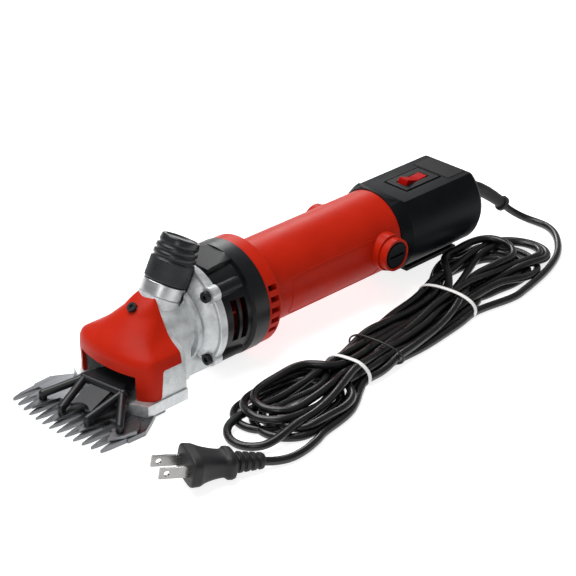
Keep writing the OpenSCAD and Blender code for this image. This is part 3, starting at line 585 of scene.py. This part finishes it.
def cover_loft(name, inset):
    """The head's outer form from the legs to the crown, or the same form drawn in by inset."""
    heights = [10, 14, 18, 22, 25, 27, 28.5, 30, 31, 32] + [32.6 + 0.6 * i for i in range(41)]
    if inset:
        heights = [4] + heights[:-2]
    verts, faces = [], []
    for z in heights:
        spread = 0.7 if z < 36 else 1.4 if z < 55 else 0.4
        w = eased(WIDTHS, z, spread) - inset
        nose = min(eased(NOSE, z, spread) + inset, HEAD_FACE_X - 0.5)
        deep = min(NOSE_DEPTH, (HEAD_FACE_X - nose) * 0.86)
        start = nose + deep
        side = [(-84 + (start + 84) * i / 12, w) for i in range(12)]
        bow = [math.radians(90 - 90 * i / 20) for i in range(21)]
        half = side + [(nose + deep * (1 - math.cos(t)), w * math.sin(t)) for t in bow]
        line = half + [(x, -y) for x, y in half[-2::-1]]
        verts += [(x, y, z - (0.7 * inset if z > 30 else 0)) for x, y in line]
    n = len(line)
    for i in range(len(heights) - 1):
        for j in range(n):
            a, b = i * n + j, i * n + (j + 1) % n
            faces.append((a, b, b + n, a + n))
    faces.append(tuple(range(n))[::-1])
    faces.append(tuple(range((len(heights) - 1) * n, len(heights) * n)))
    return closed(mesh_piece(name, verts, faces))


def closed(obj):
    """Turns all faces of a closed piece outward."""
    bm = bmesh.new()
    bm.from_mesh(obj.data)
    bmesh.ops.recalc_face_normals(bm, faces=bm.faces)
    bm.to_mesh(obj.data)
    bm.free()
    return obj


def slab(name, outline, y0, y1):
    """A prism: an outline of x and z carried from y0 to y1."""
    n = len(outline)
    verts = [(x, y, z) for y in (y0, y1) for x, z in outline]
    faces = [tuple(range(n)), tuple(range(n, 2 * n))[::-1]]
    faces += [(i, (i + 1) % n, n + (i + 1) % n, n + i) for i in range(n)]
    return closed(mesh_piece(name, verts, faces, smooth=False))


def baked(obj):
    """Turns the object's modifiers into plain geometry."""
    graph = bpy.context.evaluated_depsgraph_get()
    data = bpy.data.meshes.new_from_object(obj.evaluated_get(graph))
    obj.modifiers.clear()
    obj.data = data
    return obj


def carved(obj, cutter):
    cut = obj.modifiers.new("cut", "BOOLEAN")
    cut.operation = "DIFFERENCE"
    cut.object = cutter
    cut.solver = "EXACT"
    baked(obj)
    bpy.data.objects.remove(cutter)
    return obj


def rod(name, start, way, radius, length, sides=48):
    """A round rod from start along way, in millimetres."""
    bm = bmesh.new()
    bmesh.ops.create_cone(bm, cap_ends=True, segments=sides, radius1=radius * MM,
                          radius2=radius * MM, depth=length * MM)
    turn = Vector(way).normalized().to_track_quat("Z", "Y").to_matrix().to_4x4()
    place = Matrix.Translation(Vector(start) * MM) @ turn
    bm.transform(place @ Matrix.Translation((0, 0, length * MM / 2)))
    data = bpy.data.meshes.new(name)
    bm.to_mesh(data)
    bm.free()
    obj = bpy.data.objects.new(name, data)
    bpy.context.scene.collection.objects.link(obj)
    return obj


def edges(obj, width, segments=3, angle=35):
    obj.data.shade_smooth()
    edge = obj.modifiers.new("edge", "BEVEL")
    edge.width = width * MM
    edge.segments = segments
    edge.limit_method = "ANGLE"
    edge.angle_limit = math.radians(angle)
    even = obj.modifiers.new("even", "WEIGHTED_NORMAL")
    even.weight = 60
    return obj


cover = carved(cover_loft("cover_shell", 0), cover_loft("inside", COVER_T))
cover = carved(cover, slab("behind", [(-110, 0), (-110, 10), (-109, 11), (-107.5, 26),
                                      (-106.5, 27), (-94, 27), (-94, 36),
                                      (HEAD_FACE_X, 55.5), (HEAD_FACE_X, 80), (-60, 80),
                                      (-60, 0)], -50, 50))
cover = carved(cover, slab("mouth", [(-130, 0), (-100, 0), (-100, MOUTH_TOP),
                                     (-130, MOUTH_TOP)], -MOUTH_Y, MOUTH_Y))
screw_way = (-math.sin(SCREW_LEAN), 0, math.cos(SCREW_LEAN))
foot = Vector(SCREW_AT) - 4 * Vector(screw_way)
cover = carved(cover, rod("screw_recess", foot, screw_way, 2.9, 12))
finish_piece(edges(cover, 0.5), "red_shell", "casing", ("head_cover",))

# ------------------------------------------------------------------ rear cover's collar


def collar_piece(name, profile, sides=180):
    """A ring about the handle's axis, flattened where the cover's top slopes down.

    The profile holds x, radius and height above that slope, in millimetres."""
    verts, faces = [], []
    n = len(profile)
    for j in range(sides):
        t = 2 * math.pi * j / sides
        for x, r, lift in profile:
            roof = 26.5 - 4.5 * (x - 89) / 11 + lift
            verts.append((x, r * math.cos(t), AXIS_Z + min(r * math.sin(t), roof)))
    for j in range(sides):
        for i in range(n):
            a, b = j * n + i, j * n + (i + 1) % n
            c, d = ((j + 1) % sides) * n + (i + 1) % n, ((j + 1) % sides) * n + i
            faces.append((a, d, c, b))
    return closed(mesh_piece(name, verts, faces))


finish_piece(edges(collar_piece("rear_collar", [
    (90.1, 25.0, -1), (90.1, 26.2, 0.1), (90.5, 26.7, 0.45), (97.4, 29.35, 0.45),
    (98.2, 29.45, 0.45), (98.6, 29.3, 0.3), (98.7, 28.0, -1)]), 0.12, 2),
    "black_shell", "casing")

# ------------------------------------------------------------------ plug

PLUG_START = Vector((-107, -109, 4.9))
PLUG_TURN = (Matrix.Rotation(math.radians(158), 4, "Z")
             @ Matrix.Rotation(math.radians(-10), 4, "Y"))
PLUG_FORM = [(-0.6, 2.5, 2.5), (-0.6, 3.6, 3.6), (0, 4.1, 4.0)]
for rib in range(4):
    u, b = 0.3 + 4 * rib, 4.6 + 0.35 * rib
    PLUG_FORM += [(u, b - 0.2, b - 0.5), (u + 0.3, b, b - 0.3), (u + 2.0, b + 0.2, b - 0.1),
                  (u + 2.3, b, b - 0.3), (u + 2.4, b - 1.1, b - 1.3), (u + 3.5, b - 1, b - 1.2)]
PLUG_FORM += [
    (16.4, 6.0, 5.0), (16.9, 6.4, 5.3), (17.4, 8.4, 6.4), (17.9, 9.2, 6.9), (19.6, 9.7, 7.3),
    (21.4, 9.6, 7.3), (22.0, 9.2, 7.1), (22.5, 8.4, 6.6), (24.2, 7.9, 6.3), (27, 8.1, 6.6),
    (30, 8.7, 7.0), (33, 9.6, 7.5), (35.5, 10.7, 8.0), (37.2, 11.9, 8.3), (38.4, 12.6, 8.5),
    (39.0, 12.8, 8.6), (42.6, 12.9, 8.6), (43.5, 12.6, 8.4), (44, 11.8, 7.8), (44, 8, 5),
]


def plug_piece():
    sides = 72
    verts, faces = [], []
    for u, b, h in PLUG_FORM:
        power = 2.0 / np.interp(u, [0, 15, 18, 36, 44], [2.2, 2.4, 3.2, 3.4, 4.2])
        for j in range(sides):
            t = 2 * math.pi * j / sides
            c, s = math.cos(t), math.sin(t)
            verts.append(PLUG_START + (PLUG_TURN @ Vector((
                u, b * math.copysign(abs(c) ** power, c),
                h * math.copysign(abs(s) ** power, s)))))
    verts.append(PLUG_START + PLUG_TURN @ Vector((44, 0, 0)))
    n = len(PLUG_FORM)
    for i in range(n - 1):
        for j in range(sides):
            k = (j + 1) % sides
            faces.append((i * sides + j, i * sides + k, (i + 1) * sides + k,
                          (i + 1) * sides + j))
    last = (n - 1) * sides
    faces += [(last + j, last + (j + 1) % sides, n * sides) for j in range(sides)]
    faces.append(tuple(range(sides))[::-1])
    obj = mesh_piece("moulded_plug", verts, faces)
    even = obj.modifiers.new("even", "WEIGHTED_NORMAL")
    even.weight = 60
    return obj


plug = finish_piece(plug_piece(), "plug_pvc", "casing", ("plug_body",))

# ------------------------------------------------------------------ twist tie and panel line


def twist_piece():
    """A thin coated wire round the hank, bulging out a little at its two sides."""
    loop = girth(TIES[2], 0.7, 60)
    left = int(np.argmin(loop[:, 0] + 0.3 * (loop[:, 1] < 3) * 99))
    loop = np.roll(loop, -left, axis=0)
    middle = (loop[:, 0].max() + loop[:, 0].min()) / 2
    half = (loop[:, 0].max() - loop[:, 0].min()) / 2
    points = []
    for i, q in enumerate(loop):
        side = (q[0] - middle) / half
        points.append(placed(TIES[2], 2.5 * math.sin(i / 60 * 2 * math.pi),
                             q[0] + 2.4 * side * abs(side) ** 5,
                             max(q[1] + (0.6 if q[1] > 6 else 0), 0.75)))
    return curve_piece("twist_wire", points, 0.6, closed=True, order=3, sides=4)


finish_piece(twist_piece(), "tie_black", "casing", ("twist_tie",))


def on_handle(x, up):
    """A point on the handle's side that faces -Y, up degrees above its middle."""
    t = math.radians(up)
    return (x, -HANDLE_R * math.cos(t), AXIS_Z + HANDLE_R * math.sin(t))


def panel_piece():
    """The fine raised line round the side panel of the handle."""
    turns = []
    for x0, u0, s in ((7, 12, 180), (64, 12, 90), (64, -32, 0), (7, -32, -90)):
        turns += [(x0 + 9 * math.cos(math.radians(s - a)),
                   u0 + 20 * 0.5 * math.sin(math.radians(s - a))) for a in range(0, 91, 15)]
    points = []
    for (xa, ua), (xb, ub) in zip(turns, turns[1:] + turns[:1]):
        steps = max(1, int(max(abs(xb - xa), abs(ub - ua)) / 2))
        points += [on_handle(xa + (xb - xa) * i / steps, ua + (ub - ua) * i / steps)
                   for i in range(steps)]
    return curve_piece("panel_line", points, 0.32, closed=True, order=3, sides=3)


finish_piece(panel_piece(), "red_shell", "casing")

# ------------------------------------------------------------------ stage

floor_data = bpy.data.meshes.new("floor")
floor_data.from_pydata([(-6, -6, 0), (6, -6, 0), (6, 6, 0), (-6, 6, 0)], [], [(0, 1, 2, 3)])
floor = bpy.data.objects.new("floor", floor_data)
bpy.context.scene.collection.objects.link(floor)
floor.location.z = -0.0002
paper = surface("floor_paper", (0.6, 0.6, 0.6), 0.8, vary=0.004, grain=400,
                grain_strength=0.02, specular=0.05)
paper_shader = paper.node_tree.nodes["Principled BSDF"]
paper_shader.inputs["Emission Color"].default_value = (1, 1, 1, 1)
paper_shader.inputs["Emission Strength"].default_value = 0.8
floor_data.materials.append(paper)

world = bpy.data.worlds.new("studio")
world.use_nodes = True
world.node_tree.nodes["Background"].inputs["Color"].default_value = (1, 1, 1, 1)
world.node_tree.nodes["Background"].inputs["Strength"].default_value = 0.24
bpy.context.scene.world = world


def soft_light(name, place, size, watts, aim=(0.02, 0, 0.02)):
    data = bpy.data.lights.new(name, "AREA")
    data.shape = "RECTANGLE"
    data.size, data.size_y = size
    data.energy = watts
    obj = bpy.data.objects.new(name, data)
    bpy.context.scene.collection.objects.link(obj)
    obj.location = place
    obj.rotation_mode = "QUATERNION"
    obj.rotation_quaternion = (Vector(aim) - Vector(place)).to_track_quat("-Z", "Y")
    return obj


soft_light("key", (-0.15, 0.3, 1.1), (0.9, 0.9), 15)
soft_light("fill", (-0.9, -0.6, 0.55), (0.3, 0.45), 1.8)
soft_light("rim", (0.7, 0.8, 0.6), (0.3, 0.6), 4)
bpy.context.scene.view_settings.view_transform = "Standard"
